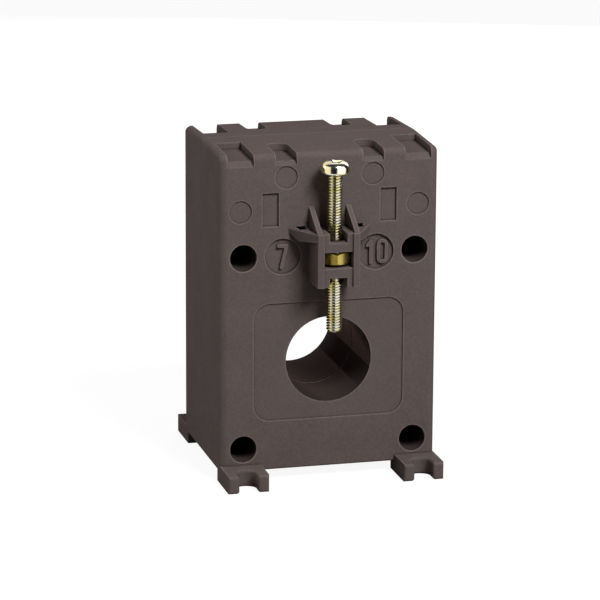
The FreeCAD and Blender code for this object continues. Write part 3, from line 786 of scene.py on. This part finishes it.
def sight(azimuth, elevation):
    """Unit vector from the object towards a viewer at two angles in degrees."""
    a, e = math.radians(azimuth), math.radians(elevation)
    return Vector((math.sin(a) * math.cos(e), -math.cos(a) * math.cos(e), math.sin(e)))


def facing(direction):
    """The turn that points a thing's own +Z along a direction, and keeps it upright."""
    return direction.to_track_quat("Z", "Y").to_matrix().to_4x4()


def add_holder(name, data):
    """An object for a lamp or the camera, in the scene."""
    holder = bpy.data.objects.new(name, data)
    bpy.context.scene.collection.objects.link(holder)
    return holder


def backdrop_material(tone):
    """White paper sweep: plain in the picture, keeps a faint shadow, clear from below."""
    hidden_tone, seen_tone = 0.3, 0.9
    glow, glow_share = 1.07, 0.86
    material, tree, shader, _ = start_material("white_paper_sweep", {
        "Roughness": 0.9, "Specular IOR Level": 0.0})
    ray = add_node(tree, "ShaderNodeLightPath")
    seen = ray.outputs["Is Camera Ray"]
    for kind in ("Is Glossy Ray", "Is Transmission Ray"):
        seen = add_node(tree, "ShaderNodeMath", {0: seen, 1: ray.outputs[kind]},
                        operation="ADD", use_clamp=True).outputs[0]
    # the sheet itself is dull, so that it throws little light up at the object
    paper = add_node(tree, "ShaderNodeMix", {
        "Factor": seen, "A": shade(tone, hidden_tone), "B": shade(tone, seen_tone)},
        data_type="RGBA")
    tree.links.new(paper.outputs["Result"], shader.inputs["Base Color"])
    lit = add_node(tree, "ShaderNodeEmission", {"Color": tone[:], "Strength": glow})
    part = add_node(tree, "ShaderNodeMath", {0: seen, 1: glow_share}, operation="MULTIPLY")
    face = add_node(tree, "ShaderNodeMixShader", {
        0: part.outputs[0], 1: shader.outputs[0], 2: lit.outputs[0]})
    below = add_node(tree, "ShaderNodeNewGeometry").outputs["Backfacing"]
    clear = add_node(tree, "ShaderNodeBsdfTransparent")
    both = add_node(tree, "ShaderNodeMixShader", {
        0: below, 1: face.outputs[0], 2: clear.outputs[0]})
    tree.links.new(both.outputs[0], tree.nodes["Material Output"].inputs["Surface"])
    return material


def make_sweep(look, floor_z):
    """A round floor whose rim curves up all round as a backdrop.

    The rim goes up in short stretches, each one steeper than the last by some degrees.
    """
    stretches, stretch = 8, 0.12
    first_slope, steeper = 8, 10
    widening = 0.1
    deselect()
    bpy.ops.mesh.primitive_circle_add(vertices=96, radius=look.floor_radius,
                                      fill_type="NGON", location=(0, 0, floor_z))
    bpy.ops.object.transform_apply(location=True)
    sweep = bpy.context.object
    sweep.name = "sweep"
    bpy.ops.object.mode_set(mode="EDIT")
    select_edges(sweep, lambda co: True)
    for step in range(stretches):
        slope = math.radians(first_slope + steeper * step)
        outwards = stretch * math.cos(slope)
        size = 1 + outwards / (look.floor_radius + widening * step)
        bpy.ops.mesh.extrude_edges_move(
            TRANSFORM_OT_translate={"value": (0, 0, stretch * math.sin(slope))})
        bpy.ops.transform.resize(value=(size, size, 1))
    bpy.ops.mesh.select_all(action="SELECT")
    bpy.ops.mesh.normals_make_consistent(inside=True)
    bpy.ops.object.mode_set(mode="OBJECT")
    bpy.ops.object.shade_smooth_by_angle(angle=math.radians(40))
    sweep.data.materials.append(backdrop_material(look.backdrop))
    sweep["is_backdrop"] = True


def add_lamp(name, target, azimuth, elevation, distance, size, watts, mirrored=True):
    """A square soft lamp that faces the target, and shows in bright surfaces if mirrored."""
    lamp = bpy.data.lights.new(name, "AREA")
    lamp.energy = watts
    lamp.size = size
    holder = add_holder(name, lamp)
    direction = sight(azimuth, elevation)
    holder.matrix_world = Matrix.Translation(target + direction * distance) @ facing(direction)
    holder.visible_camera = False
    holder.visible_glossy = mirrored


def add_card(name, glow, strength, azimuth, half_angle, distance=0.13, low=-0.031,
             high=0.17):
    """An upright card beside the object, of lit paper, that only bright surfaces show."""
    deselect()
    bpy.ops.mesh.primitive_plane_add(size=1)
    card = bpy.context.object
    card.name = name
    towards = sight(azimuth, 0)
    width = 2 * distance * math.tan(math.radians(half_angle))
    card.matrix_world = (
        Matrix.Translation(towards * distance + Vector((0, 0, (low + high) / 2)))
        @ facing(towards) @ Matrix.Diagonal((width, high - low, 1, 1)))
    bpy.ops.object.transform_apply(location=True, rotation=True, scale=True)
    material, tree, _, _ = start_material(name, {})
    light = add_node(tree, "ShaderNodeEmission", {"Color": glow[:], "Strength": strength})
    tree.links.new(light.outputs[0], tree.nodes["Material Output"].inputs["Surface"])
    card.data.materials.append(material)
    card.visible_camera = False
    card.visible_diffuse = False
    card.visible_transmission = False
    card.visible_shadow = False
    card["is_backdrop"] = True


def make_room(look):
    """Even light from all round; bright metal sees a white room behind, a dark one before."""
    world = bpy.data.worlds.new("soft_room")
    bpy.context.scene.world = world
    world.use_nodes = True
    tree = world.node_tree
    sky = tree.nodes["Background"]
    sky.inputs["Color"].default_value = (1, 1, 1, 1)
    towards = add_node(tree, "ShaderNodeTexCoord").outputs["Generated"]
    behind = add_node(tree, "ShaderNodeSeparateXYZ", {0: towards}).outputs["Y"]
    mirrored = add_node(tree, "ShaderNodeMapRange", {
        "Value": behind, "From Min": 0.35, "From Max": 0.7, "To Min": 0.04, "To Max": 1.0})
    ray = add_node(tree, "ShaderNodeLightPath")
    strength = add_node(tree, "ShaderNodeMix", {
        "Factor": ray.outputs["Is Glossy Ray"], "A": look.ambient,
        "B": mirrored.outputs[0]})
    tree.links.new(strength.outputs["Result"], sky.inputs["Strength"])


def add_camera():
    """A long lens from the upper left, as in the photograph."""
    target = Vector((-0.007515, -0.020, 0.0157))
    direction = sight(azimuth=-14.707, elevation=14.434)
    distance = 0.84568
    roll = math.radians(0.315)
    level = Vector((0, 0, 1)).cross(direction).normalized()
    upright = direction.cross(level)
    right = level * math.cos(roll) + upright * math.sin(roll)
    up = upright * math.cos(roll) - level * math.sin(roll)
    camera = bpy.data.cameras.new("camera")
    camera.sensor_width = 36
    camera.lens = 204
    camera.clip_start = 0.01
    camera.clip_end = 30
    holder = add_holder("camera", camera)
    turned = Matrix((right, up, direction)).transposed().to_4x4()
    holder.matrix_world = Matrix.Translation(target + direction * distance) @ turned
    bpy.context.scene.camera = holder


class MakeStudio(bpy.types.Operator):
    """Set up the floor, the lamps, the cards and the camera"""
    bl_idname = "transformer.make_studio"
    bl_label = "Studio"

    def execute(self, context):
        look = context.scene.transformer_studio
        low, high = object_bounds()
        middle = (low + high) / 2
        make_sweep(look, low.z)
        add_lamp("key", middle, azimuth=19, elevation=44, distance=0.65, size=0.24,
                 watts=look.key)
        add_lamp("side", middle, azimuth=-104, elevation=20, distance=0.4, size=0.25,
                 watts=look.side)
        add_lamp("rear", middle, azimuth=160, elevation=6, distance=0.65, size=0.2,
                 watts=look.rear, mirrored=False)
        make_room(look)
        # the screws' plating mirrors these
        add_card("dark_card_front", look.white, 0.01, azimuth=-22, half_angle=22)
        add_card("white_card_right", look.white, 1.6, azimuth=33, half_angle=30)
        add_card("dark_card_right", look.white, 0.01, azimuth=84, half_angle=18)
        add_card("white_card_behind_right", look.white, 1.8, azimuth=133, half_angle=31)
        add_card("cream_card_behind_left", look.cream, 1.25, azimuth=-139, half_angle=26)
        add_card("cream_card_left", look.cream, 1.25, azimuth=-71, half_angle=25)
        # the polished bore mirrors these two
        add_card("dim_card_behind", look.dim, 0.075, azimuth=180, half_angle=40,
                 distance=0.06, high=0.04)
        add_card("dim_card_before", look.dim, 0.075, azimuth=0, half_angle=33,
                 distance=0.075, high=-0.008)
        context.scene.view_settings.view_transform = "Standard"
        add_camera()
        return {"FINISHED"}


class TransformerPanel(bpy.types.Panel):
    """Pieces of the current transformer and their looks"""
    bl_idname = "VIEW3D_PT_transformer"
    bl_label = "Current transformer"
    bl_space_type = "VIEW_3D"
    bl_region_type = "UI"
    bl_category = "Transformer"

    def draw(self, context):
        for name, group, title, operators in GROUPS:
            box = self.layout.box()
            box.label(text=title)
            for operator in operators:
                box.operator(operator.bl_idname)
            for prop in group.__annotations__:
                box.prop(getattr(context.scene, name), prop)


GROUPS = [
    ("transformer_case", CaseLook, "Case", [DressCase, DressHolder]),
    ("transformer_screws", ScrewLook, "Screws", [MakeClampScrew]),
    ("transformer_nut", NutLook, "Nut", [MakeClampNut]),
    ("transformer_inside", InsideLook, "Inside", [MakeTerminals, DressInside]),
    ("transformer_studio", StudioLook, "Studio", [MakeStudio]),
]


def register():
    for name, group, _, operators in GROUPS:
        bpy.utils.register_class(group)
        setattr(bpy.types.Scene, name, PointerProperty(type=group))
        for operator in operators:
            bpy.utils.register_class(operator)
    bpy.utils.register_class(TransformerPanel)


def unregister():
    bpy.utils.unregister_class(TransformerPanel)
    for name, group, _, operators in reversed(GROUPS):
        for operator in operators:
            bpy.utils.unregister_class(operator)
        delattr(bpy.types.Scene, name)
        bpy.utils.unregister_class(group)


def main():
    register()
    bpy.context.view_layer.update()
    for _, _, _, operators in GROUPS:
        for operator in operators:
            group, action = operator.bl_idname.split(".")
            getattr(getattr(bpy.ops, group), action)()


if __name__ == "__main__":
    main()
